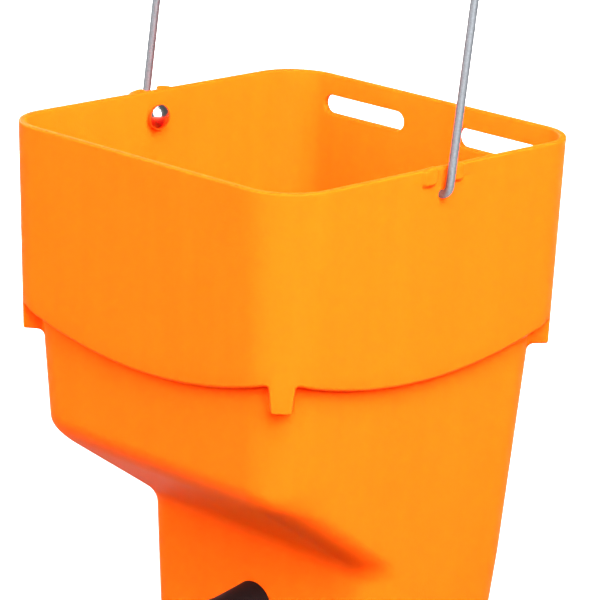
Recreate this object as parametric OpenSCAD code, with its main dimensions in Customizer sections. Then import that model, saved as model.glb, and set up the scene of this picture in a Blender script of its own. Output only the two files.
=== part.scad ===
// Calf feeder bucket: a square moulded bucket with a stepped-in body, a ledge
// over a recessed front wall, a pull-through rubber teat and a swinging wire bail.
// Millimetres, +Z up, front is -Y, origin on the floor under the middle of the rim.

/* [Rim] */
// Outside width across the rim, side to side
rim_width = 250; // [235:1:290]
// Outside depth across the rim, front to back
rim_depth = 254; // [240:1:290]
// Height of the rim above the floor
height = 345; // [300:1:400]
// Outside corner radius at the rim
rim_corner = 33; // [30:1:42]
// Moulded wall thickness
wall = 4.5; // [3.5:0.5:5.5]
// Radius of the two edges of the rim
rim_round = 1.3; // [1:0.1:1.6]

/* [Upper band] */
// Draft of the upper band in degrees
band_draft = 1.8; // [1:0.1:2.5]
// Depth of the shoulder below the rim at the middle of each side
shoulder_drop = 130.4; // [118:0.2:140]
// How much higher the shoulder is at the corners than at mid side
shoulder_sag = 19; // [8:1:24]
// Step inward from the upper band to the body
body_inset = 8.8; // [7:0.2:11]

/* [Body] */
// Draft of the body walls in degrees
body_draft = 3.5; // [2:0.1:4]
// Extra draft of the part below the ledge in degrees
foot_draft = 1.2; // [0:0.1:2]
// Outside corner radius of the body
body_corner = 29; // [24:1:34]
// Floor thickness
floor_thick = 5; // [4:0.5:7]
// Radius of the edge around the floor
base_round = 9; // [6:1:12]
// Radius of the corner around the inside of the floor
inner_round = 6; // [4:1:8]

/* [Ledge and recess] */
// Height of the corner under the ledge above the teat centre
recess_rise = 47; // [46:0.5:56]
// Place of the ledge's upper edge, as a share of the way from the shoulder down to that corner
ledge_share = 0.495; // [0.42:0.005:0.58]
// Distance of the recessed front wall ahead of the rim middle
recess_face = 20.6; // [16:0.2:34]
// Outside corner radius beside the recessed wall
recess_corner = 23; // [22:1:32]
// Softness of the upper edge of the ledge
ledge_round = 8; // [4:1:12]
// Softness of the inner corner under the ledge
recess_round = 14; // [8:1:18]

/* [Stacking lugs] */
// Depth of the lug tips below the rim
lug_drop = 129.4; // [127.4:0.2:134]
// Lug width under the shoulder
lug_width = 15.6; // [12:0.2:18]
// Lug width at the tip
lug_tip = 12.2; // [8:0.2:12.4]
// Spread of the lug on each side where it meets the shoulder
lug_flare = 3; // [2:0.5:5]

/* [Hanging slots] */
// Length of each slot end to end
slot_length = 70; // [50:1:76]
// Height of each slot
slot_height = 12.2; // [10:0.2:16]
// Distance of each slot centre from the middle
slot_offset = 58.5; // [46:0.5:60]
// Depth of the slot centres below the rim
slot_drop = 19.4; // [15:0.2:30]

/* [Bail] */
// Wire diameter
wire_d = 5; // [4:0.5:6]
// Depth of the pivot line below the rim
pivot_drop = 16; // [15.5:0.5:24]
// Pivot line behind the middle, negative towards the front
pivot_shift = -2; // [-4:0.5:4]
// Height of the carrying bar above the pivot line
bail_rise = 190; // [185:1:230]
// Bend radius at the top corners, to the wire centre
bail_corner = 60; // [40:1:75]
// Bend radius at the pivot ends, to the wire centre
bail_bend = 5.5; // [4.5:0.5:5.5]
// Outward splay of each arm in degrees
bail_splay = 0.2; // [0.1:0.1:2]
// Backward lean of the bail as shown in degrees
bail_lean = 7; // [0:0.5:12]
// Radial clearance of the wire in the pivot holes
pin_clear = 0.08; // [0.02:0.02:0.1]

/* [Bail pads] */
// Width of each pad pair along the rim
pad_width = 34; // [30:1:40]
// Depth of the pads below the rim
pad_height = 9.2; // [8:0.2:10.6]
// How far the pads stand above the rim
pad_rise = 1.5; // [0.5:0.1:2]
// How far the pads stand out from the wall
pad_thick = 2.4; // [2:0.1:4]
// Gap between the two halves of each pad
pad_groove = 12; // [9:0.5:14]
// Clearance of the wire in front of the pads
pad_gap = 0.35; // [0.35:0.05:1.5]

/* [End caps] */
// Outside diameter of the dome caps
cap_d = 16.2; // [14:0.2:18]
// Height of the dome caps
cap_height = 6.4; // [5:0.2:7]
// Clearance between the caps and the wall
cap_gap = 3; // [0.4:0.1:4]
// Sheet thickness of the dome caps
cap_sheet = 0.8; // [0.6:0.1:1]
// Straight skirt of the dome caps
cap_skirt = 1.8; // [1.6:0.1:2.2]
// Thickness of the toothed grip discs
disc_thick = 0.6; // [0.5:0.1:0.8]
// Depth of the discs inside the cap skirts
disc_depth = 1.4; // [1:0.1:1.5]
// Gap between the wire end and the dome
wire_short = 1; // [0.8:0.1:1.4]

/* [Teat] */
// Height of the teat centre above the floor
teat_height = 42; // [38:0.2:50]
// Length of the teat outside the wall
teat_length = 86; // [70:1:88]
// Diameter of the teat hole in the wall
teat_hole = 25; // [23:0.5:27]
// Diameter of the outer lip
lip_d = 32; // [30:0.2:36]
// Thickness of the outer lip
lip_thick = 2.5; // [2:0.5:4]
// Diameter of the inner flange
flange_d = 40; // [36:0.5:42]
// Thickness of the inner flange
flange_thick = 6; // [4:0.5:8]
// Length of the cone between the wall and the shaft
cone_length = 28; // [24:1:36]
// Diameter of the shaft next to the cone
teat_shaft = 24.4; // [23:0.2:26]
// Diameter of the shaft next to the rounded end
teat_end = 23; // [20:0.5:25]
// Rubber thickness of the teat
teat_wall = 3.5; // [2.5:0.5:4]
// Diameter of the feeding hole in the end
feed_hole = 3; // [2:0.5:5]

/* [Hidden] */
// Points in each corner and along each side of a ring
NC = 6;
NS = 8;
N = 4 * (NC + NS);
$fn = 48;
// Small chamfers, depth of roots inside a wall, overrun of cuts, press of tight fits
edge = 1.5;
sink = 2;
over = 10;
squeeze = 0.05;
ha = rim_width / 2;
hb = rim_depth / 2;
wire_r = wire_d / 2;
pivot_z = height - pivot_drop;
recess_drop = height - teat_height - recess_rise;
ledge_drop = shoulder_drop + ledge_share * (recess_drop - shoulder_drop);

// Wall setback from the rim outline at depth d below the rim
function band_in(d) = d * tan(band_draft);
function side_in(d) = band_in(shoulder_drop) + body_inset + (d - shoulder_drop) * tan(body_draft);
function body_in(d) = side_in(d) + max(0, d - foot_drop) * tan(foot_draft);

// The ledge falls by this much for each millimetre back
fall = (recess_drop - ledge_drop) / (hb - side_in(ledge_drop) - recess_face);
ledge_slope = atan(fall);
foot_drop = recess_drop + recess_round * fall;

// The larger of u and 0, with a rounded turn between -r and r
function soft(u, r) = u <= -r ? 0 : (u >= r ? u : (u + r) * (u + r) / (4 * r));

// Front wall of the body at depth d, moved inside by t
function lead(t) = t / sin(ledge_slope) - t;
function front_up(d, t) = body_in(d) - hb + t;
function front_slope(d, t) = front_up(d, t) + soft((d - ledge_drop) / fall + lead(t), ledge_round);
function front_low(t) = t - recess_face;
function front(d, t) = front_low(t) - soft(front_low(t) - front_slope(d, t), recess_round);
function in_recess(d) = min(1, max(0, (d - ledge_drop) / (recess_drop - ledge_drop)));

// Point i of a rounded rectangle: half width, front, back, front and back radii
function corner_of(i) = floor(i / (NC + NS));
function step_of(i) = i % (NC + NS);
function arc_pt(c, k, w, f, b, rf, rb) =
    let (r = (c == 0 || c == 3) ? rf : rb)
    let (a = c * 90 - 90 + 90 * k / NC)
    let (cx = (c == 0 || c == 1) ? w - r : r - w)
    let (cy = (c == 0 || c == 3) ? f + r : b - r)
    [cx + r * cos(a), cy + r * sin(a)];
function rect_pt(i, w, f, b, rf, rb) =
    let (c = corner_of(i), s = step_of(i))
    let (p = arc_pt(c, NC, w, f, b, rf, rb), q = arc_pt((c + 1) % 4, 0, w, f, b, rf, rb))
    s <= NC ? arc_pt(c, s, w, f, b, rf, rb) : p + (q - p) * (s - NC) / NS;

// Points of the band and of the body at setback m, depth d
function band_pt(i, m, d) =
    let (r = rim_corner - m)
    concat(rect_pt(i, ha - m, m - hb, hb - m, r, r), [height - d]);
function body_pt(i, d, t, e) =
    let (m = body_in(d) + t + e)
    let (rf = body_corner + (recess_corner - body_corner) * in_recess(d) - t - e)
    concat(rect_pt(i, ha - m, front(d, t) + e, hb - m, rf, body_corner - t - e), [height - d]);

// Shoulder depth at point i: deepest at mid side, higher at the corners
apex_x = ha - band_in(shoulder_drop) - (1 - sqrt(0.5)) * (rim_corner - band_in(shoulder_drop));
apex_y = apex_x + hb - ha;
function along(p) = abs(p[1]) >= apex_y - 0.01 ? abs(p[0]) / apex_x : abs(p[1]) / apex_y;
function shoulder(i) =
    let (e = min(1, along(band_pt(i, band_in(shoulder_drop), 0))))
    shoulder_drop - shoulder_sag * e * e;

// Rings of points, from the outside of the floor over the rim to the inside floor
foot_rings = [for (k = [0 : 4])
    let (z = base_round * (1 - cos(k * 22.5)), e = base_round * (1 - sin(k * 22.5)))
    [for (i = [0 : N - 1]) body_pt(i, height - z, 0, e)]];
turns = [1, 0.6, 0.25, 0, -0.25, -0.6, -1];
recess_levels = [for (k = turns) recess_drop + k * recess_round * fall];
ledge_levels = [for (k = turns) ledge_drop + k * ledge_round * fall];
levels = concat(recess_levels, ledge_levels);
wall_rings = [for (d = levels) [for (i = [0 : N - 1]) body_pt(i, d, 0, 0)]];
// Rounded step at the shoulder: part of the wall (1 band, 2 body), setback, depth
tuck = [[2, 0, 5], [2, 0, 1.6], [2, -0.5, 0.5], [2, -1.6, 0], [1, 1.6, 0], [1, 0.5, -0.5], [1, 0, -1.6]];
function shoulder_pt(i, k, t) =
    let (d = shoulder(i) - t + k[2])
    k[0] == 2 ? body_pt(i, d, t, k[1]) : band_pt(i, band_in(d) + t + k[1], d);
shoulder_rings = [for (k = tuck) [for (i = [0 : N - 1]) shoulder_pt(i, k, 0)]];
rim_flat = wall - 2 * rim_round;
rim_rings = [for (s = [0, 1]) for (k = [0 : 30 : 90])
    let (a = k + 90 * s)
    let (d = rim_round * (1 - sin(a)), m = rim_round * (1 - cos(a)) + rim_flat * s)
    [for (i = [0 : N - 1]) band_pt(i, band_in(d) + m, d)]];
inner_shoulder = [for (k = [len(tuck) - 1 : -1 : 0])
    [for (i = [0 : N - 1]) shoulder_pt(i, tuck[k], wall)]];
shift = lead(wall) * fall;
inner_walls = [for (k = [len(levels) - 1 : -1 : 0])
    [for (i = [0 : N - 1]) body_pt(i, levels[k] - shift, wall, 0)]];
floor_rings = [for (k = [4 : -1 : 0])
    let (z = floor_thick + inner_round * (1 - cos(k * 22.5)), e = inner_round * (1 - sin(k * 22.5)))
    [for (i = [0 : N - 1]) body_pt(i, height - z, wall, e)]];
rings = concat(foot_rings, wall_rings, shoulder_rings, rim_rings, inner_shoulder, inner_walls, floor_rings);
M = len(rings);

// Closed skin over the rings
module moulding() {
    pts = concat([for (r = rings) for (p = r) p], [[0, hb / 3, 0], [0, hb / 3, floor_thick]]);
    sides = [for (j = [0 : M - 2]) for (i = [0 : N - 1])
        let (a = j * N + i, b = j * N + (i + 1) % N)
        for (t = [[a, a + N, b], [b, a + N, b + N]]) t];
    bottom = [for (i = [0 : N - 1]) [i, (i + 1) % N, M * N]];
    top = [for (i = [0 : N - 1]) [(M - 1) * N + (i + 1) % N, (M - 1) * N + i, M * N + 1]];
    polyhedron(points = pts, faces = concat(sides, bottom, top), convexity = 8);
}

// One lug at a corner: a hair inside the face of the band, rooted in the body wall
module lug(sx, sy) {
    hair = 0.05;
    top = shoulder_drop - shoulder_sag;
    tall = lug_drop - top;
    root = sqrt(2) * (rim_corner - body_in(lug_drop) - body_corner) + body_corner - sink;
    tip = lug_tip / 2;
    half = lug_width / 2;
    flare = half + lug_flare;
    side = [[tip - edge, -tall], [tip, edge - tall], [half, -edge - sink],
        [half + lug_flare / 3, -lug_flare / 2.5], [flare, 0], [flare, lug_flare]];
    other = [for (k = [len(side) - 1 : -1 : 0]) [-side[k][0], side[k][1]]];
    translate([sx * (ha - rim_corner), sy * (hb - rim_corner), height - top])
        rotate([0, 0, atan2(sy, sx)])
            intersection() {
                translate([0, 0, -tall - 1])
                    cylinder(h = tall + lug_flare + 2, r1 = rim_corner - band_in(lug_drop + 1) - hair,
                        r2 = rim_corner - band_in(top - lug_flare - 1) - hair, $fn = 4 * NC);
                translate([root, 0, 0])
                    rotate([90, 0, 90])
                        linear_extrude(height = rim_corner)
                            polygon(concat(side, other));
            }
}

// Two pad halves beside the wire on one side wall, from just above the rim down
module pads(s) {
    inner = pad_groove / 2;
    outer = pad_width / 2;
    ease = 0.3;
    for (m = [-1, 1])
        translate([s * (ha - sink), pivot_shift, height])
            mirror([s < 0 ? 1 : 0, 0, 0])
                rotate([90, 0, 90])
                    linear_extrude(height = pad_thick + sink)
                        polygon([[m * inner, pad_rise], [m * (outer - 2 * pad_rise), pad_rise],
                            [m * outer, -ease], [m * outer, edge - pad_height],
                            [m * (outer - edge), -pad_height], [m * (inner + edge), -pad_height],
                            [m * inner, edge - pad_height]]);
}

// Round-ended slot drawn in the plane of the back wall
module slot_outline() {
    r = slot_height / 2;
    x = slot_length / 2 - r;
    square([2 * x, slot_height], center = true);
    for (sx = [-1, 1])
        translate([sx * x, 0])
            circle(r = r);
}

module bucket() {
    color([0.98, 0.5, 0.08])
        difference() {
            union() {
                moulding();
                for (sx = [-1, 1])
                    for (sy = [-1, 1])
                        lug(sx, sy);
                for (s = [-1, 1])
                    pads(s);
            }
            for (s = [-1, 1])
                translate([s * slot_offset, hb + over, height - slot_drop])
                    rotate([90, 0, 0])
                        linear_extrude(height = 2 * over + wall)
                            slot_outline();
            for (s = [-1, 1])
                translate([s * ha, pivot_shift, pivot_z])
                    rotate([0, 90, 0])
                        cylinder(h = 2 * (wall + pad_thick + over), r = wire_r + pin_clear, center = true);
            translate([0, -recess_face + wall / 2, teat_height])
                rotate([90, 0, 0])
                    cylinder(h = wall + over, r = teat_hole / 2, center = true);
        }
}

// Bail: one bent wire, drawn as half and mirrored
arm_x = ha + pad_thick + pad_gap + wire_r;
cap_x = ha - band_in(pivot_drop + cap_d / 2) - wall - cap_gap;
wire_end = cap_x - cap_height + cap_sheet + wire_short;
turn = 90 - bail_splay;
bend_x = arm_x - bail_bend;
arm_low = [bend_x + bail_bend * sin(turn), bail_bend * (1 - cos(turn))];
crown_v = bail_rise - bail_corner;
arm_high_v = crown_v - bail_corner * sin(bail_splay);
arm_len = (arm_high_v - arm_low[1]) / cos(bail_splay);
arm_high_x = arm_low[0] + arm_len * sin(bail_splay);
crown_x = arm_high_x - bail_corner * cos(bail_splay);

// Bend of the wire, a hair thinner than the straights so that its ends seat inside them
module wire_arc(r, angle) {
    lap = 0.3;
    hair = 0.01;
    more = asin(lap / r);
    rotate([0, 0, -more])
        rotate_extrude(angle = angle + 2 * more)
            translate([r, 0])
                circle(r = wire_r - hair);
}

// Half of the wire in the plane X, Z with the pivot line at Z = 0
module half_wire() {
    translate([wire_end, 0, 0])
        rotate([0, 90, 0])
            cylinder(h = bend_x - wire_end, r = wire_r);
    translate([bend_x, 0, bail_bend])
        rotate([90, 0, 0])
            rotate([0, 0, -90])
                wire_arc(bail_bend, turn);
    translate([arm_low[0], 0, arm_low[1]])
        rotate([0, bail_splay, 0])
            cylinder(h = arm_len, r = wire_r);
    translate([crown_x, 0, crown_v])
        rotate([90, 0, 0])
            rotate([0, 0, -bail_splay])
                wire_arc(bail_corner, 90 + bail_splay);
}

module hung() {
    translate([0, pivot_shift, pivot_z])
        rotate([-bail_lean, 0, 0])
            children();
}

module bail() {
    color([0.62, 0.64, 0.66])
        hung() {
            for (s = [0, 1])
                mirror([s, 0, 0])
                    half_wire();
            translate([-crown_x, 0, bail_rise])
                rotate([0, 90, 0])
                    cylinder(h = 2 * crown_x, r = wire_r);
        }
}

// Toothed spring disc that bites on the wire end
module grip_disc(s) {
    color([0.5, 0.5, 0.52])
        hung()
            mirror([s < 0 ? 1 : 0, 0, 0])
                translate([cap_x - disc_depth, 0, 0])
                    rotate([0, 90, 0])
                        difference() {
                            cylinder(h = disc_thick, r = cap_d / 2 - cap_sheet + squeeze);
                            translate([0, 0, -1])
                                cylinder(h = disc_thick + 2, r = wire_r - squeeze);
                            for (k = [0 : 5])
                                rotate([0, 0, k * 60])
                                    translate([wire_r - 0.5, -0.4, -1])
                                        cube([2.2, 0.8, disc_thick + 2]);
                        }
}

module grip_disc_left() {
    grip_disc(-1);
}

module grip_disc_right() {
    grip_disc(1);
}

// Pressed dome that covers the disc and the wire end
module end_cap(s) {
    r = cap_d / 2;
    rise = cap_height - cap_skirt;
    ball = (r * r + rise * rise) / (2 * rise);
    span = asin(r / ball);
    in = ball - cap_sheet;
    reach = asin((r - cap_sheet) / in);
    centre = cap_height - ball;
    steps = 10;
    lift = 0.2;
    shell_out = [for (k = [steps : -1 : 0])
        let (a = span * k / steps)
        [ball * sin(a), centre + ball * cos(a)]];
    shell_in = [for (k = [0 : steps])
        let (a = reach * k / steps)
        [in * sin(a), centre + in * cos(a)]];
    profile = concat([[r - cap_sheet, lift], [r - lift, 0], [r, lift]], shell_out, shell_in);
    color([0.78, 0.79, 0.8])
        hung()
            mirror([s < 0 ? 1 : 0, 0, 0])
                translate([cap_x, 0, 0])
                    rotate([0, -90, 0])
                        rotate_extrude()
                            polygon(profile);
}

module end_cap_left() {
    end_cap(-1);
}

module end_cap_right() {
    end_cap(1);
}

// Rounded end of the teat, from its side towards the middle, up to angle turn
tip_start = teat_length - teat_end / 2;
function tip_arc(r, turn, steps) =
    [for (k = [0 : steps]) [r * cos(turn * k / steps), tip_start + r * sin(turn * k / steps)]];

// Soft teat pulled through the recessed wall from inside: flange, groove, lip, cone, shaft
module teat_outside() {
    r = teat_hole / 2 + squeeze;
    lip = lip_d / 2;
    flange = flange_d / 2;
    back = -wall - flange_thick;
    rotate_extrude()
        polygon(concat([[0, back], [flange - edge, back], [flange, back + edge], [flange, -wall - squeeze],
            [r, -wall - squeeze], [r, squeeze], [lip, squeeze], [lip, lip_thick - edge / 3],
            [lip - edge / 3, lip_thick], [teat_shaft / 2, cone_length]], tip_arc(teat_end / 2, 90, 8)));
}

// Milk way through the teat, narrowed to the feeding hole at the end
module teat_inside() {
    back = -wall - flange_thick - sink;
    neck = teat_hole / 2 - teat_wall;
    turn = 78;
    r = teat_end / 2 - teat_wall;
    rotate_extrude()
        polygon(concat([[0, back], [neck, back], [neck, lip_thick]],
            [[teat_shaft / 2 - teat_wall, cone_length]],
            tip_arc(r, turn, 6), [[0, tip_start + r * sin(turn)]]));
    cylinder(h = teat_length + sink, r = feed_hole / 2);
}

module teat() {
    color([0.13, 0.1, 0.1])
        translate([0, -recess_face, teat_height])
            rotate([90, 0, 0])
                difference() {
                    teat_outside();
                    teat_inside();
                }
}

bucket();
bail();
grip_disc_left();
grip_disc_right();
end_cap_left();
end_cap_right();
teat();
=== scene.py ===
"""Calf feeder bucket: the looks of the part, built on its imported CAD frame."""
import math

import bmesh
import bpy
from mathutils import Matrix, Vector


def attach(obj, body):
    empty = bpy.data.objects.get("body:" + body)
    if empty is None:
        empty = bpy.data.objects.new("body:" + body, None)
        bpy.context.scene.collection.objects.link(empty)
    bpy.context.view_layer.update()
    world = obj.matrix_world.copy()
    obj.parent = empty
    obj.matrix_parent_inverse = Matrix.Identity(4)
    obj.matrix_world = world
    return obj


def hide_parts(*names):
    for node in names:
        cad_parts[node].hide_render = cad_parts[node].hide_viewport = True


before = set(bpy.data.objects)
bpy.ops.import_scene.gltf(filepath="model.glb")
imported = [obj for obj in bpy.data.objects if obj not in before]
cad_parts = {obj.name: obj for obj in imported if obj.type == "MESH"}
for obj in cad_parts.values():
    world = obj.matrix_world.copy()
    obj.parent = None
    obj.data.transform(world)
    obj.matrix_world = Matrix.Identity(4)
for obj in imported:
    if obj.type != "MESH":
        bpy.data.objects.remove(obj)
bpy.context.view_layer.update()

MM = 0.001

# Sizes of the moulding in millimetres. Depths are measured down from the rim.
HALF_W = 125.0
HALF_D = 127.0
HEIGHT = 345.0
RIM_CORNER = 33.0
WALL = 4.5
RIM_ROUND = 1.3
BAND_DRAFT = math.tan(math.radians(1.8))
SHOULDER_DROP = 130.4
SHOULDER_SAG = 19.0
BODY_INSET = 8.8
BODY_DRAFT = math.tan(math.radians(3.5))
FOOT_DRAFT = math.tan(math.radians(1.2))
BODY_CORNER = 29.0
FLOOR = 5.0
BASE_ROUND = 9.0
FLOOR_ROUND = 6.0
TEAT_HEIGHT = 42.0
RECESS_RISE = 47.0
LEDGE_SHARE = 0.495
RECESS_FACE = 20.6
RECESS_CORNER = 23.0
# Half-widths of the two turns of the front wall
LEDGE_ROUND_FRONT = 16.0
LEDGE_ROUND_CORNER = 10.0
LEDGE_ROUND_SIDE = 20.0
RECESS_ROUND = 14.0
# Edge of the shoulder and hollow under it, on the band and on the lugs
EDGE_ROUND = 2.8
TUCK_ROUND = 3.2
LUG_EDGE = 1.5
LUG_TUCK = 2.0
TIP_TUCK = 4.5
LUG_TALL = 18.7
LUG_TIP = 6.1
LUG_ROOT = 7.8
LUG_TIP_ROUND = 1.9
LUG_ROOT_ROUND = 3.2
# Rim pads, as places either side of the pivot
PAD_INNER = 6.0
PAD_OUTER = 17.0
PAD_THICK = 2.4
PAD_LOW = 9.8
PAD_RISE = 1.5
PAD_ROUND = 3.0
PAD_SOFT = 1.6
PAD_END = 5.5
SLOT_LENGTH = 70.0
SLOT_HEIGHT = 12.2
SLOT_OFFSET = 58.5
SLOT_DROP = 19.4
SLOT_ROUND = 0.8
PIVOT_DROP = 16.0
PIVOT_Y = -2.0
PIVOT_R = 2.58
TEAT_HOLE_R = 12.5
# How far the cutters reach past the wall
SLOT_PAST = 4.0
PIVOT_PAST = 20.0
TEAT_PAST = 6.0

# Spacing of the mesh lines
PAD_EDGE = [0.35 * k for k in range(-9, 5)]
PAD_COLUMNS = sorted([0.0] + [PAD_OUTER + e for e in PAD_EDGE] + [PAD_INNER - e for e in PAD_EDGE])
PAD_TOP = [5.0, 4.0, 3.0, 2.0]
PAD_MARGIN = 2.0
WALL_COLUMNS = 28
TURNS = [k / 8 - 1 for k in range(17)]
FAR = 1000.0
# Sine of half a corner, cut short so that neighbouring mesh lines never cross
CORNER_REACH = 0.7071

RECESS_DROP = HEIGHT - TEAT_HEIGHT - RECESS_RISE
LEDGE_DROP = SHOULDER_DROP + LEDGE_SHARE * (RECESS_DROP - SHOULDER_DROP)
SIDE_REACH = HALF_D - RIM_CORNER


def band_in(d):
    """Draft of the upper band at depth d."""
    return d * BAND_DRAFT


def side_in(d):
    """Distance of the body's sides from the rim's outline at depth d, above the foot."""
    return band_in(SHOULDER_DROP) + BODY_INSET + (d - SHOULDER_DROP) * BODY_DRAFT


FALL = (RECESS_DROP - LEDGE_DROP) / (HALF_D - side_in(LEDGE_DROP) - RECESS_FACE)
FOOT_DROP = RECESS_DROP + RECESS_ROUND * FALL
BAND_ARC = RIM_CORNER - band_in(SHOULDER_DROP)
CORNER_HALF = BAND_ARC * math.sin(math.pi / 4)
APEX_X = HALF_W - band_in(SHOULDER_DROP) - (1 - math.sqrt(0.5)) * BAND_ARC
APEX_Y = APEX_X + HALF_D - HALF_W


def body_in(d):
    """Distance of the body's sides from the rim's outline at depth d."""
    return side_in(d) + max(0.0, d - FOOT_DROP) * FOOT_DRAFT


def clamp(x):
    """The share x, kept between 0 and 1."""
    return min(1.0, max(0.0, x))


def ease(x):
    """Smooth step from 0 to 1."""
    return x * x * (3 - 2 * x)


def soft(u, r):
    """The larger of u and 0, with a rounded turn between -r and r."""
    if u <= -r:
        return 0.0
    return u if u >= r else (u + r) ** 2 / (4 * r)


def lead(t):
    """Shift of the ledge's slope when its face is moved inside by t, so that the wall stays even."""
    return t / math.sin(math.atan(FALL)) - t


def front(d, t, r):
    """Front wall of the body at depth d, moved inside by t, with the ledge's edge rounded by r."""
    slope = body_in(d) - HALF_D + t + soft((d - LEDGE_DROP) / FALL + lead(t), r)
    low = t - RECESS_FACE
    return low - soft(low - slope, RECESS_ROUND)


class Column:
    """One upright line of the skin, in a corner or on a wall.

    index: corner 0 is at the front right and wall 0 at the right, and the others follow round.
    along: in a corner the distance from its middle, on a wall the share of the way.
    place: on a side wall the distance from the pivot, near the pads.
    depth, nv, nd: reach of a lug below the shoulder, and its outline's normal sideways and down.
    """

    def __init__(self, corner, index, along, place=FAR, depth=0.0, nv=0.0, nd=1.0):
        self.corner, self.index, self.along, self.place = corner, index, along, place
        self.depth, self.nv, self.nd = depth, nv, nd


def lug_profile():
    """Half of a lug's outline as (sideways, depth, normal sideways, normal down), tip to shoulder."""
    lean = math.atan2(LUG_ROOT - LUG_TIP, LUG_TALL)
    turn = math.pi / 2 - lean
    tip_x = LUG_TIP - LUG_TIP_ROUND * math.tan(turn / 2)
    points = [(tip_x * k / 3, LUG_TALL, 0.0, 1.0) for k in range(4)]
    for k in range(1, 7):
        a = turn * k / 6
        points.append((tip_x + LUG_TIP_ROUND * math.sin(a),
                       LUG_TALL - LUG_TIP_ROUND * (1 - math.cos(a)), math.sin(a), math.cos(a)))
    root_x = LUG_ROOT + LUG_ROOT_ROUND * math.tan(turn / 2)
    arc = []
    for k in range(7):
        a = turn * (1 - k / 6)
        arc.append((root_x - LUG_ROOT_ROUND * math.sin(a),
                    LUG_ROOT_ROUND * (1 - math.cos(a)), math.sin(a), math.cos(a)))
    start, end = points[-1], arc[0]
    for k in range(1, 4):
        points.append(tuple(p + (q - p) * k / 4 for p, q in zip(start, end)))
    return points + arc


def corner_columns(index):
    """Columns round one corner, with the lug in its middle."""
    half = lug_profile()
    last = half[-1][0]
    half += [(last + (CORNER_HALF - last) * k / 5, 0.0, 0.0, 1.0) for k in range(1, 6)]
    left = [(-v, d, -nv, nd) for v, d, nv, nd in reversed(half[1:])]
    return [Column(True, index, v, FAR, d, nv, nd) for v, d, nv, nd in left + half]


def wall_columns(index):
    """Columns along one wall: even at the front and back, close together at the pads of a side."""
    if index % 2:
        return [Column(False, index, k / WALL_COLUMNS) for k in range(1, WALL_COLUMNS)]
    middle = PIVOT_Y if index == 0 else -PIVOT_Y
    pads = [-y for y in reversed(PAD_COLUMNS[1:])] + PAD_COLUMNS
    low, high = middle + pads[0] + SIDE_REACH, SIDE_REACH - middle - pads[-1]
    places = [(low * k / 8 - SIDE_REACH, FAR) for k in range(1, 8)]
    places += [(middle + y, y) for y in pads]
    places += [(SIDE_REACH - high * k / 8, FAR) for k in range(7, 0, -1)]
    return [Column(False, index, (y + SIDE_REACH) / (2 * SIDE_REACH), place) for y, place in places]


def arc_point(index, angle, w, f, b, rf, rb):
    """Point at an angle of a corner of a rectangle from -w to w and f to b, rounded rf and rb."""
    r = rf if index in (0, 3) else rb
    cx = w - r if index in (0, 1) else r - w
    cy = f + r if index in (0, 3) else b - r
    return Vector((cx + r * math.cos(angle), cy + r * math.sin(angle)))


def ring_point(column, shift, *outline):
    """Point of a rounded rectangle at a column, moved sideways by shift inside a corner."""
    index = column.index
    if column.corner:
        reach = max(-CORNER_REACH, min(CORNER_REACH, (column.along + shift) / BAND_ARC))
        return arc_point(index, math.radians(90 * index - 45) + math.asin(reach), *outline)
    start = arc_point(index, math.radians(90 * index), *outline)
    end = arc_point((index + 1) % 4, math.radians(90 * index), *outline)
    return start.lerp(end, column.along)


def band_point(column, m, d, shift=0.0):
    """Point of the upper band at depth d, m inside the rim's outline."""
    r = RIM_CORNER - m
    p = ring_point(column, shift, HALF_W - m, m - HALF_D, HALF_D - m, r, r)
    return (p.x, p.y, HEIGHT - d)


def ledge_round(column):
    """Half-width of the ledge's edge at a column: tightest at the middle of a front corner."""
    if not column.corner:
        return LEDGE_ROUND_FRONT if column.index == 3 else LEDGE_ROUND_SIDE
    along = column.along / CORNER_HALF * (-1 if column.index == 3 else 1)
    end = LEDGE_ROUND_SIDE if along > 0 else LEDGE_ROUND_FRONT
    return LEDGE_ROUND_CORNER + (end - LEDGE_ROUND_CORNER) * ease(min(1.0, abs(along)))


def body_point(column, d, t, e, shift=0.0):
    """Point of the body at depth d, moved inside by the wall t and by a round e."""
    m = body_in(d) + t + e
    share = clamp((d - LEDGE_DROP) / (RECESS_DROP - LEDGE_DROP))
    rf = BODY_CORNER + (RECESS_CORNER - BODY_CORNER) * share - t - e
    f = front(d, t, ledge_round(column)) + e
    p = ring_point(column, shift, HALF_W - m, f, HALF_D - m, rf, BODY_CORNER - t - e)
    return (p.x, p.y, HEIGHT - d)


def shoulder(column):
    """Depth of the shoulder at a column: deepest at mid side."""
    x, y, _ = band_point(column, band_in(SHOULDER_DROP), 0.0)
    e = abs(x) / APEX_X if abs(y) >= APEX_Y - 0.01 else abs(y) / APEX_Y
    return SHOULDER_DROP - SHOULDER_SAG * min(1.0, e) ** 2


def outer_edge(column):
    """Depth of the outer shoulder, level across a lug's tip, and the radii of its edge and hollow."""
    tall = column.depth / LUG_TALL
    lug = min(1.0, column.depth / LUG_ROOT_ROUND)
    drop = column.shoulder * (1 - tall) + (SHOULDER_DROP - SHOULDER_SAG) * tall
    edge = EDGE_ROUND + (LUG_EDGE - EDGE_ROUND) * lug
    tuck = TUCK_ROUND + (LUG_TUCK - TUCK_ROUND) * lug
    return drop, edge, tuck + (TIP_TUCK - LUG_TUCK) * column.nd * column.nd * tall


def pad_share(column, d):
    """Share of a pad's thickness at depth d: 1 on its face, falling softly at its edges."""
    if column.place == FAR:
        return 0.0
    middle, half = 0.5 * (PAD_INNER + PAD_OUTER), 0.5 * (PAD_OUTER - PAD_INNER)
    u = abs(abs(column.place) - middle) - half + PAD_ROUND
    v = d - PAD_LOW + PAD_ROUND
    away = math.hypot(max(u, 0.0), max(v, 0.0)) + min(max(u, v), 0.0) - PAD_ROUND
    return ease(clamp(0.5 - away / (2 * PAD_SOFT)))


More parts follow.
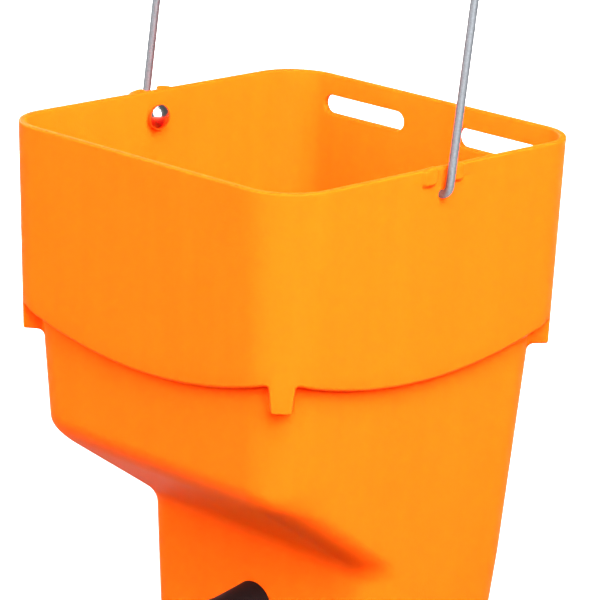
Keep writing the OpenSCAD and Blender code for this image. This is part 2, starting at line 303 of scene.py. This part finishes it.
COLUMNS = []
for c in range(4):
    COLUMNS += corner_columns(c) + wall_columns(c)
for column in COLUMNS:
    column.shoulder = shoulder(column)
    column.drop, column.edge, column.tuck = outer_edge(column)


def quarter(steps):
    """Angles of a quarter turn."""
    return [math.pi / 2 * k / steps for k in range(steps + 1)]


def levels(start, end, steps):
    """Depths between start and end, without these two."""
    return [start + (end - start) * k / steps for k in range(1, steps)]


def turn_levels(middle, half, lift=0.0):
    """Depths down through a turn of the front wall."""
    return [middle + half * FALL * k - lift for k in TURNS]


def body_ring(d, t=0.0, e=0.0):
    """Level ring of the body at depth d."""
    return [body_point(column, d, t, e) for column in COLUMNS]


def outer_body_rings():
    """Outer skin of the body, from its foot up to the ledge's edge and on to the shoulder."""
    rings = [body_ring(HEIGHT - BASE_ROUND * (1 - math.cos(a)), e=BASE_ROUND * (1 - math.sin(a)))
             for a in quarter(6)]
    recess = turn_levels(RECESS_DROP, RECESS_ROUND)[::-1]
    ledge = turn_levels(LEDGE_DROP, LEDGE_ROUND_SIDE)[::-1]
    depths = levels(HEIGHT - BASE_ROUND, FOOT_DROP, 5) + recess
    depths += levels(recess[-1], ledge[0], 6) + ledge
    rings += [body_ring(d) for d in depths]
    start = ledge[-1]
    for w in (k / 8 for k in range(1, 8)):
        ring = []
        for c in COLUMNS:
            end = c.drop + c.depth + c.nd * c.tuck
            ring.append(body_point(c, start + (end - start) * w, 0.0, 0.0, c.nv * c.tuck * w ** 3))
        rings.append(ring)
    return rings


def shoulder_rings():
    """Hollow under the shoulder and its rounded edge, down round the lugs."""
    rings = []
    for a in quarter(6):
        ring = []
        for c in COLUMNS:
            delta, e = c.tuck * (1 - math.sin(a)), c.tuck * (math.cos(a) - 1)
            ring.append(body_point(c, c.drop + c.depth + c.nd * delta, 0.0, e, c.nv * delta))
        rings.append(ring)
    for a in quarter(6):
        ring = []
        for c in COLUMNS:
            delta, m = -c.edge * (1 - math.cos(a)), c.edge * (1 - math.sin(a))
            d = c.drop + c.depth + c.nd * delta
            ring.append(band_point(c, band_in(d) + m, d, c.nv * delta))
        rings.append(ring)
    return rings


def outer_band_rings():
    """Outer skin of the band, from the shoulder's edge up past the pads."""
    rings = []
    top = PAD_LOW + PAD_MARGIN
    for w in (1 - k / 12 for k in range(1, 13)):
        ring = []
        for c in COLUMNS:
            end = c.drop + c.depth - c.nd * c.edge
            d = top + (end - top) * w
            ring.append(band_point(c, band_in(d), d, -c.nv * c.edge * w ** 6))
        rings.append(ring)
    for d in [PAD_LOW + e for e in reversed(PAD_EDGE)] + PAD_TOP:
        rings.append([band_point(c, band_in(d) - PAD_THICK * pad_share(c, d), d) for c in COLUMNS])
    return rings


# How far the pads stand out of and above the rim, round its outer and its inner half
PAD_OUT = [[1.0, 1.0, 1.0, 0.95, 0.75, 0.4, 0.1], [0.0] * 7]
PAD_UP = [[0.0, 0.35, 0.7, 0.95, 1.0, 1.0, 0.9], [0.15] + [0.0] * 6]


def rim_rings():
    """Rounded rim, with the pads standing out of its outer half."""
    rings = []
    for inner in (0, 1):
        for k in range(7):
            a = math.pi / 2 * (k / 6 + inner)
            d = RIM_ROUND * (1 - math.sin(a))
            m = RIM_ROUND * (1 - math.cos(a)) + inner * (WALL - 2 * RIM_ROUND)
            ring = []
            for c in COLUMNS:
                share = pad_share(c, d)
                rise = share * clamp((PAD_OUTER - abs(c.place)) / PAD_END)
                ring.append(band_point(c, band_in(d) + m - PAD_THICK * share * PAD_OUT[inner][k],
                                       d - PAD_RISE * rise * PAD_UP[inner][k]))
            rings.append(ring)
    return rings


def inside_rings():
    """Inner skin, from the rim down to the floor."""
    rings = []
    for k in range(1, 9):
        ring = []
        for c in COLUMNS:
            d = RIM_ROUND + (c.shoulder - WALL - TUCK_ROUND - RIM_ROUND) * k / 9
            ring.append(band_point(c, band_in(d) + WALL, d))
        rings.append(ring)
    for a in quarter(5):
        ring = []
        for c in COLUMNS:
            d = c.shoulder - WALL - TUCK_ROUND * (1 - math.sin(a))
            ring.append(band_point(c, band_in(d) + WALL + TUCK_ROUND * (1 - math.cos(a)), d))
        rings.append(ring)
    for a in quarter(5):
        delta, e = EDGE_ROUND * (1 - math.cos(a)), -EDGE_ROUND * (1 - math.sin(a))
        rings.append([body_point(c, c.shoulder - WALL + delta, WALL, e) for c in COLUMNS])
    lift = lead(WALL) * FALL
    ledge = turn_levels(LEDGE_DROP, LEDGE_ROUND_SIDE, lift)
    recess = turn_levels(RECESS_DROP, RECESS_ROUND, lift)
    for k in range(1, 6):
        ring = []
        for c in COLUMNS:
            d = c.shoulder - WALL + EDGE_ROUND
            ring.append(body_point(c, d + (ledge[0] - d) * k / 6, WALL, 0.0))
        rings.append(ring)
    foot = HEIGHT - FLOOR - FLOOR_ROUND
    depths = ledge + levels(ledge[-1], recess[0], 5) + recess + levels(recess[-1], foot, 5)
    rings += [body_ring(d, WALL) for d in depths]
    for a in reversed(quarter(5)):
        d = HEIGHT - FLOOR - FLOOR_ROUND * (1 - math.cos(a))
        rings.append(body_ring(d, WALL, FLOOR_ROUND * (1 - math.sin(a))))
    return rings


def mesh_object(name, points, faces):
    """Object of points in millimetres, with its faces turned outwards."""
    mesh = bpy.data.meshes.new(name)
    mesh.from_pydata([tuple(MM * x for x in p) for p in points], [], faces)
    work = bmesh.new()
    work.from_mesh(mesh)
    bmesh.ops.remove_doubles(work, verts=work.verts, dist=1e-6)
    bmesh.ops.recalc_face_normals(work, faces=work.faces)
    work.to_mesh(mesh)
    work.free()
    obj = bpy.data.objects.new(name, mesh)
    bpy.context.scene.collection.objects.link(obj)
    return obj


def skin(name, rings, caps=(None, None), closed=False):
    """Closed mesh over rings of equal length, each end closed by a fan to a given point."""
    n = len(rings[0])
    points = [p for ring in rings for p in ring]
    spans = len(rings) if closed else len(rings) - 1
    total = len(rings) * n
    faces = []
    for j in range(spans):
        for i in range(n):
            k = (i + 1) % n
            faces.append((j * n + i, j * n + k, ((j + 1) * n + k) % total, ((j + 1) * n + i) % total))
    for cap, row in zip(caps, (0, len(rings) - 1)):
        if cap is not None:
            points.append(cap)
            faces += [(row * n + i, row * n + (i + 1) % n, len(points) - 1) for i in range(n)]
    return mesh_object(name, points, faces)


def smooth(obj, angle):
    """Smooth shading, with edges sharper than the angle in degrees kept sharp."""
    obj.data.shade_smooth()
    obj.data.set_sharp_from_angle(angle=math.radians(angle))


def cut(obj, cutters):
    """Subtracts the cutters from obj and removes them."""
    for cutter in cutters:
        modifier = obj.modifiers.new("cut", "BOOLEAN")
        modifier.operation = "DIFFERENCE"
        modifier.solver = "EXACT"
        modifier.object = cutter
    bpy.context.view_layer.update()
    depsgraph = bpy.context.evaluated_depsgraph_get()
    mesh = bpy.data.meshes.new_from_object(obj.evaluated_get(depsgraph))
    obj.modifiers.clear()
    obj.data = mesh
    for cutter in cutters:
        bpy.data.objects.remove(cutter)


def rod(name, r, start, end, steps=48):
    """Plain cylinder between two points."""
    start, end = Vector(start), Vector(end)
    turn = (end - start).to_track_quat("Z", "Y").to_matrix()
    angles = [2 * math.pi * k / steps for k in range(steps)]
    circle = [turn @ Vector((r * math.cos(a), r * math.sin(a), 0.0)) for a in angles]
    rings = [[tuple(p + q) for q in circle] for p in (start, end)]
    return skin(name, rings, (tuple(start), tuple(end)))


def slot_cutter(x):
    """Round-ended slot that flares at both faces of the wall, so that its edges come out rounded."""
    middle = WALL / 2
    stations = [(-middle - SLOT_PAST, SLOT_ROUND), (-middle, SLOT_ROUND)]
    for a in quarter(5)[1:]:
        grow = SLOT_ROUND * (1 - math.cos(math.pi / 2 - a))
        stations.append((-middle + SLOT_ROUND * math.sin(a), grow))
    stations += [(-y, grow) for y, grow in reversed(stations)]
    half = SLOT_HEIGHT / 2
    reach = SLOT_LENGTH / 2 - half
    lean = Matrix.Rotation(math.atan(BAND_DRAFT), 3, "X")
    centre = Vector((x, HALF_D - band_in(SLOT_DROP) - middle, HEIGHT - SLOT_DROP))
    rings = []
    for y, grow in stations:
        r = half + grow
        ring = []
        for side in (1, -1):
            for a in (math.pi * k / 16 - math.pi / 2 for k in range(17)):
                place = Vector((side * (reach + r * math.cos(a)), y, side * r * math.sin(a)))
                ring.append(tuple(centre + lean @ place))
        rings.append(ring)
    ends = [tuple(sum((Vector(p) for p in ring), Vector()) / len(ring))
            for ring in (rings[0], rings[-1])]
    return skin("slot_cutter", rings, ends)


def bucket_cutters():
    """Cutters for the hanging slots, the bail's pivot holes and the teat's hole."""
    cutters = [slot_cutter(side * SLOT_OFFSET) for side in (-1, 1)]
    z = HEIGHT - PIVOT_DROP
    for side in (-1, 1):
        cutters.append(rod("pivot_cutter", PIVOT_R, (side * (HALF_W - PIVOT_PAST), PIVOT_Y, z),
                           (side * (HALF_W + PIVOT_PAST), PIVOT_Y, z)))
    cutters.append(rod("teat_cutter", TEAT_HOLE_R, (0.0, -RECESS_FACE - TEAT_PAST, TEAT_HEIGHT),
                       (0.0, -RECESS_FACE + WALL + TEAT_PAST, TEAT_HEIGHT)))
    return cutters


bucket = skin("bucket_moulding",
              outer_body_rings() + shoulder_rings() + outer_band_rings() + rim_rings() + inside_rings(),
              ((0.0, HALF_D / 3, 0.0), (0.0, HALF_D / 3, FLOOR)))
cut(bucket, bucket_cutters())
smooth(bucket, 38)
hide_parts("bucket")
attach(bucket, "bucket_body")

# Teat: a turned rubber shape square to the recessed wall
LIP_R = 16.0
LIP_ROUND = 0.7
LIP_THICK = 2.5
FLANGE_R = 20.0
FLANGE_THICK = 6.0
FLANGE_ROUND = 1.5
FLANGE_EDGE = 0.9
FLANGE_GAP = 0.1
SQUEEZE = 0.05
CONE_LENGTH = 28.0
CONE_BULGE = 0.1
SHAFT_R = 12.2
END_R = 11.5
TEAT_LENGTH = 86.0
RUBBER = 3.5
FEED_R = 1.5
FEED_EDGE = 0.35
FEED_SINK = 0.6


def fillet(points, centre, r, first, last, steps):
    """Adds an arc to points, from angle first to last in degrees."""
    for k in range(steps + 1):
        a = math.radians(first + (last - first) * k / steps)
        points.append((centre[0] + r * math.cos(a), centre[1] + r * math.sin(a)))


def teat_profile():
    """Closed outline as (along, radius): outside from the flange to the tip, then back inside."""
    back = -WALL - FLANGE_THICK
    neck = TEAT_HOLE_R - RUBBER
    groove = TEAT_HOLE_R + SQUEEZE
    out = [(back, neck)]
    fillet(out, (back + FLANGE_ROUND, FLANGE_R - FLANGE_ROUND), FLANGE_ROUND, 180, 90, 5)
    fillet(out, (-WALL - FLANGE_GAP - FLANGE_EDGE, FLANGE_R - FLANGE_EDGE), FLANGE_EDGE, 90, 0, 4)
    out += [(-WALL - SQUEEZE, groove), (SQUEEZE, groove), (SQUEEZE, LIP_R - LIP_ROUND)]
    fillet(out, (SQUEEZE + LIP_ROUND, LIP_R - LIP_ROUND), LIP_ROUND, 180, 82, 5)
    foot, wide = out[-1]
    for u in (k / 12 for k in range(1, 13)):
        bulge = (1 + CONE_BULGE) * u - CONE_BULGE * u * u
        out.append((foot + (CONE_LENGTH - foot) * u, wide + (SHAFT_R - wide) * bulge))
    tip = TEAT_LENGTH - END_R
    for u in (k / 8 for k in range(1, 9)):
        out.append((CONE_LENGTH + (tip - CONE_LENGTH) * u, SHAFT_R + (END_R - SHAFT_R) * u * u))
    for a in (math.radians(82 * k / 8) for k in range(1, 9)):
        out.append((tip + END_R * math.sin(a), END_R * math.cos(a)))
    out += [(TEAT_LENGTH - FEED_EDGE, FEED_R + FEED_EDGE), (TEAT_LENGTH - FEED_SINK, FEED_R)]
    inner = END_R - RUBBER
    for a in (math.radians(78 * k / 6) for k in range(6, -1, -1)):
        out.append((tip + inner * math.sin(a), max(FEED_R, inner * math.cos(a))))
    return out + [(CONE_LENGTH, SHAFT_R - RUBBER), (LIP_THICK, neck)]


def teat_rings(steps=56):
    """The outline turned about the teat's line."""
    angles = [2 * math.pi * k / steps for k in range(steps)]
    return [[(r * math.cos(q), -RECESS_FACE - t, TEAT_HEIGHT + r * math.sin(q)) for q in angles]
            for t, r in teat_profile()]


teat = skin("rubber_teat", teat_rings(), closed=True)
smooth(teat, 40)
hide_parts("teat")
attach(teat, "bucket_body")


def object_noise(mat, scale, detail, tall=1.0):
    """Noise in object space, drawn out tall times upwards."""
    nodes, links = mat.node_tree.nodes, mat.node_tree.links
    place = nodes.new("ShaderNodeTexCoord")
    draw = nodes.new("ShaderNodeMapping")
    draw.inputs["Scale"].default_value = (1.0, 1.0, 1.0 / tall)
    noise = nodes.new("ShaderNodeTexNoise")
    noise.inputs["Scale"].default_value = scale
    noise.inputs["Detail"].default_value = detail
    links.new(place.outputs["Object"], draw.inputs["Vector"])
    links.new(draw.outputs["Vector"], noise.inputs["Vector"])
    return noise.outputs["Fac"]


def material(name, base, spread, scale, metallic, rough, rough_spread, tall=1.0, **sockets):
    """Principled surface whose colour and gloss drift with a noise in object space."""
    mat = bpy.data.materials.new(name)
    mat.use_nodes = True
    nodes, links = mat.node_tree.nodes, mat.node_tree.links
    shader = nodes["Principled BSDF"]
    shader.inputs["Metallic"].default_value = metallic
    for key, value in sockets.items():
        shader.inputs[key.replace("_", " ")].default_value = value
    drift = object_noise(mat, scale, 4.0, tall)
    tint = nodes.new("ShaderNodeValToRGB")
    dark, light = tint.color_ramp.elements
    dark.position, light.position = 0.3, 0.7
    dark.color = [x * (1 - spread) for x in base] + [1.0]
    light.color = [min(1.0, x * (1 + spread)) for x in base] + [1.0]
    links.new(drift, tint.inputs["Fac"])
    links.new(tint.outputs["Color"], shader.inputs["Base Color"])
    gloss = nodes.new("ShaderNodeMapRange")
    gloss.inputs["To Min"].default_value = rough - rough_spread
    gloss.inputs["To Max"].default_value = rough + rough_spread
    links.new(drift, gloss.inputs["Value"])
    links.new(gloss.outputs["Result"], shader.inputs["Roughness"])
    return mat


def grain(mat, scale, depth):
    """Adds a fine surface grain of a given depth in metres."""
    nodes, links = mat.node_tree.nodes, mat.node_tree.links
    bump = nodes.new("ShaderNodeBump")
    bump.inputs["Distance"].default_value = depth
    links.new(object_noise(mat, scale, 2.0), bump.inputs["Height"])
    links.new(bump.outputs["Normal"], nodes["Principled BSDF"].inputs["Normal"])


def paint_top_shade(mat, share):
    """Painted shade: darkens the faces that look up by a given share, so that lit tops such as the
    rim's read less bright.
    """
    nodes, links = mat.node_tree.nodes, mat.node_tree.links
    base = nodes["Principled BSDF"].inputs["Base Color"]
    colour = base.links[0].from_socket
    place = nodes.new("ShaderNodeNewGeometry")
    split = nodes.new("ShaderNodeSeparateXYZ")
    level = nodes.new("ShaderNodeMapRange")
    level.inputs["From Min"].default_value = 0.3
    level.inputs["From Max"].default_value = 0.9
    level.inputs["To Min"].default_value = 1.0
    level.inputs["To Max"].default_value = 1.0 - share
    shade = nodes.new("ShaderNodeVectorMath")
    shade.operation = "SCALE"
    links.new(place.outputs["Normal"], split.inputs["Vector"])
    links.new(split.outputs["Z"], level.inputs["Value"])
    links.new(colour, shade.inputs[0])
    links.new(level.outputs["Result"], shade.inputs["Scale"])
    links.new(shade.outputs["Vector"], base)


orange = material("orange_polyethylene", (0.99, 0.095, 0.0033), spread=0.035, scale=55.0, tall=16.0,
                  metallic=0.0, rough=0.5, rough_spread=0.05, Specular_IOR_Level=0.01,
                  Subsurface_Weight=0.55, Subsurface_Scale=0.007, Subsurface_Radius=(1.0, 0.2, 0.08))
grain(orange, scale=800.0, depth=0.00014)
# Painted shade: the faces that look up, the rim's top above all, are darkened in colour.
paint_top_shade(orange, share=0.32)
wire = material("galvanised_wire", (0.12, 0.128, 0.138), spread=0.2, scale=900.0,
                metallic=1.0, rough=0.6, rough_spread=0.08)
grain(wire, scale=1200.0, depth=0.00004)
spring = material("spring_steel", (0.35, 0.36, 0.38), spread=0.05, scale=400.0,
                  metallic=1.0, rough=0.4, rough_spread=0.05)
grain(spring, scale=1500.0, depth=0.00002)
chrome = material("polished_cap", (0.36, 0.36, 0.37), spread=0.02, scale=200.0,
                  metallic=1.0, rough=0.2, rough_spread=0.03)
grain(chrome, scale=900.0, depth=0.000006)
rubber = material("black_rubber", (0.0052, 0.0035, 0.0037), spread=0.12, scale=260.0,
                  metallic=0.0, rough=0.6, rough_spread=0.06, Specular_IOR_Level=0.09)
grain(rubber, scale=1500.0, depth=0.00003)
pale = material("pale_floor", (0.53, 0.53, 0.53), spread=0.01, scale=1.0,
                metallic=0.0, rough=0.8, rough_spread=0.05, Specular_IOR_Level=0.0)


def dress(obj, mat):
    """Gives an object one material."""
    obj.data.materials.clear()
    obj.data.materials.append(mat)


dress(bucket, orange)
dress(teat, rubber)
dress(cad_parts["bail"], wire)
for side in ("left", "right"):
    dress(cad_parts["grip_disc_" + side], spring)
    dress(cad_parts["end_cap_" + side], chrome)

# Plain floor, soft light
FLOOR_REACH = 12.0
floor_mesh = bpy.data.meshes.new("floor")
floor_mesh.from_pydata([(x * FLOOR_REACH, y * FLOOR_REACH, 0.0)
                        for x, y in ((-1, -1), (1, -1), (1, 1), (-1, 1))], [], [(0, 1, 2, 3)])
floor = bpy.data.objects.new("floor", floor_mesh)
bpy.context.scene.collection.objects.link(floor)
dress(floor, pale)
# The floor lights nothing from below, as if dark cards lay on it out of the picture
floor.visible_diffuse = False

world = bpy.data.worlds.new("soft_sky")
world.use_nodes = True
sky = world.node_tree.nodes["Background"]
sky.inputs["Color"].default_value = (1.0, 1.0, 1.0, 1.0)
sky.inputs["Strength"].default_value = 0.18
bpy.context.scene.world = world

MIDDLE = Vector((0.0, 0.0, 0.22))


def direction(azimuth, elevation):
    """Unit vector from the object, in degrees. Azimuth 0 is the front, 90 the right side."""
    a, e = math.radians(azimuth), math.radians(elevation)
    return Vector((math.sin(a) * math.cos(e), -math.cos(a) * math.cos(e), math.sin(e)))


def softbox(name, azimuth, elevation, distance, size, power, shine=True):
    """Square area light aimed at the object. Without shine it makes no highlights."""
    away = direction(azimuth, elevation)
    light = bpy.data.lights.new(name, "AREA")
    light.size = size
    light.energy = power
    lamp = bpy.data.objects.new(name, light)
    lamp.location = MIDDLE + distance * away
    lamp.rotation_euler = away.to_track_quat("Z", "Y").to_euler()
    lamp.visible_camera = False
    lamp.visible_glossy = shine
    bpy.context.scene.collection.objects.link(lamp)


softbox("key", azimuth=66, elevation=41, distance=2.4, size=2.0, power=352.0)
softbox("front", azimuth=-20, elevation=25, distance=2.6, size=1.8, power=101.0)
softbox("back", azimuth=-158, elevation=15, distance=2.6, size=1.2, power=220.0, shine=False)
softbox("side", azimuth=-108, elevation=20, distance=2.6, size=1.2, power=90.0)
softbox("top", azimuth=0, elevation=88, distance=2.6, size=1.4, power=32.0)

# Camera fitted to the photo
AZIMUTH = 44.706
ELEVATION = 16.252
ROLL = math.radians(1.945)
LENS = 195.05
EYE = Vector((1.3439, -1.3466, 0.7911))

back = direction(AZIMUTH, ELEVATION)
right = direction(AZIMUTH + 90, 0)
up = back.cross(right)
right, up = (right * math.cos(ROLL) + up * math.sin(ROLL),
             up * math.cos(ROLL) - right * math.sin(ROLL))
camera_data = bpy.data.cameras.new("camera")
camera_data.sensor_width = 36.0
camera_data.lens = LENS
camera_data.clip_start = 0.05
camera_data.clip_end = 100.0
camera = bpy.data.objects.new("camera", camera_data)
camera.matrix_world = Matrix.Translation(EYE) @ Matrix((right, up, back)).transposed().to_4x4()
bpy.context.scene.collection.objects.link(camera)
bpy.context.scene.camera = camera
bpy.context.scene.view_settings.view_transform = "Standard"
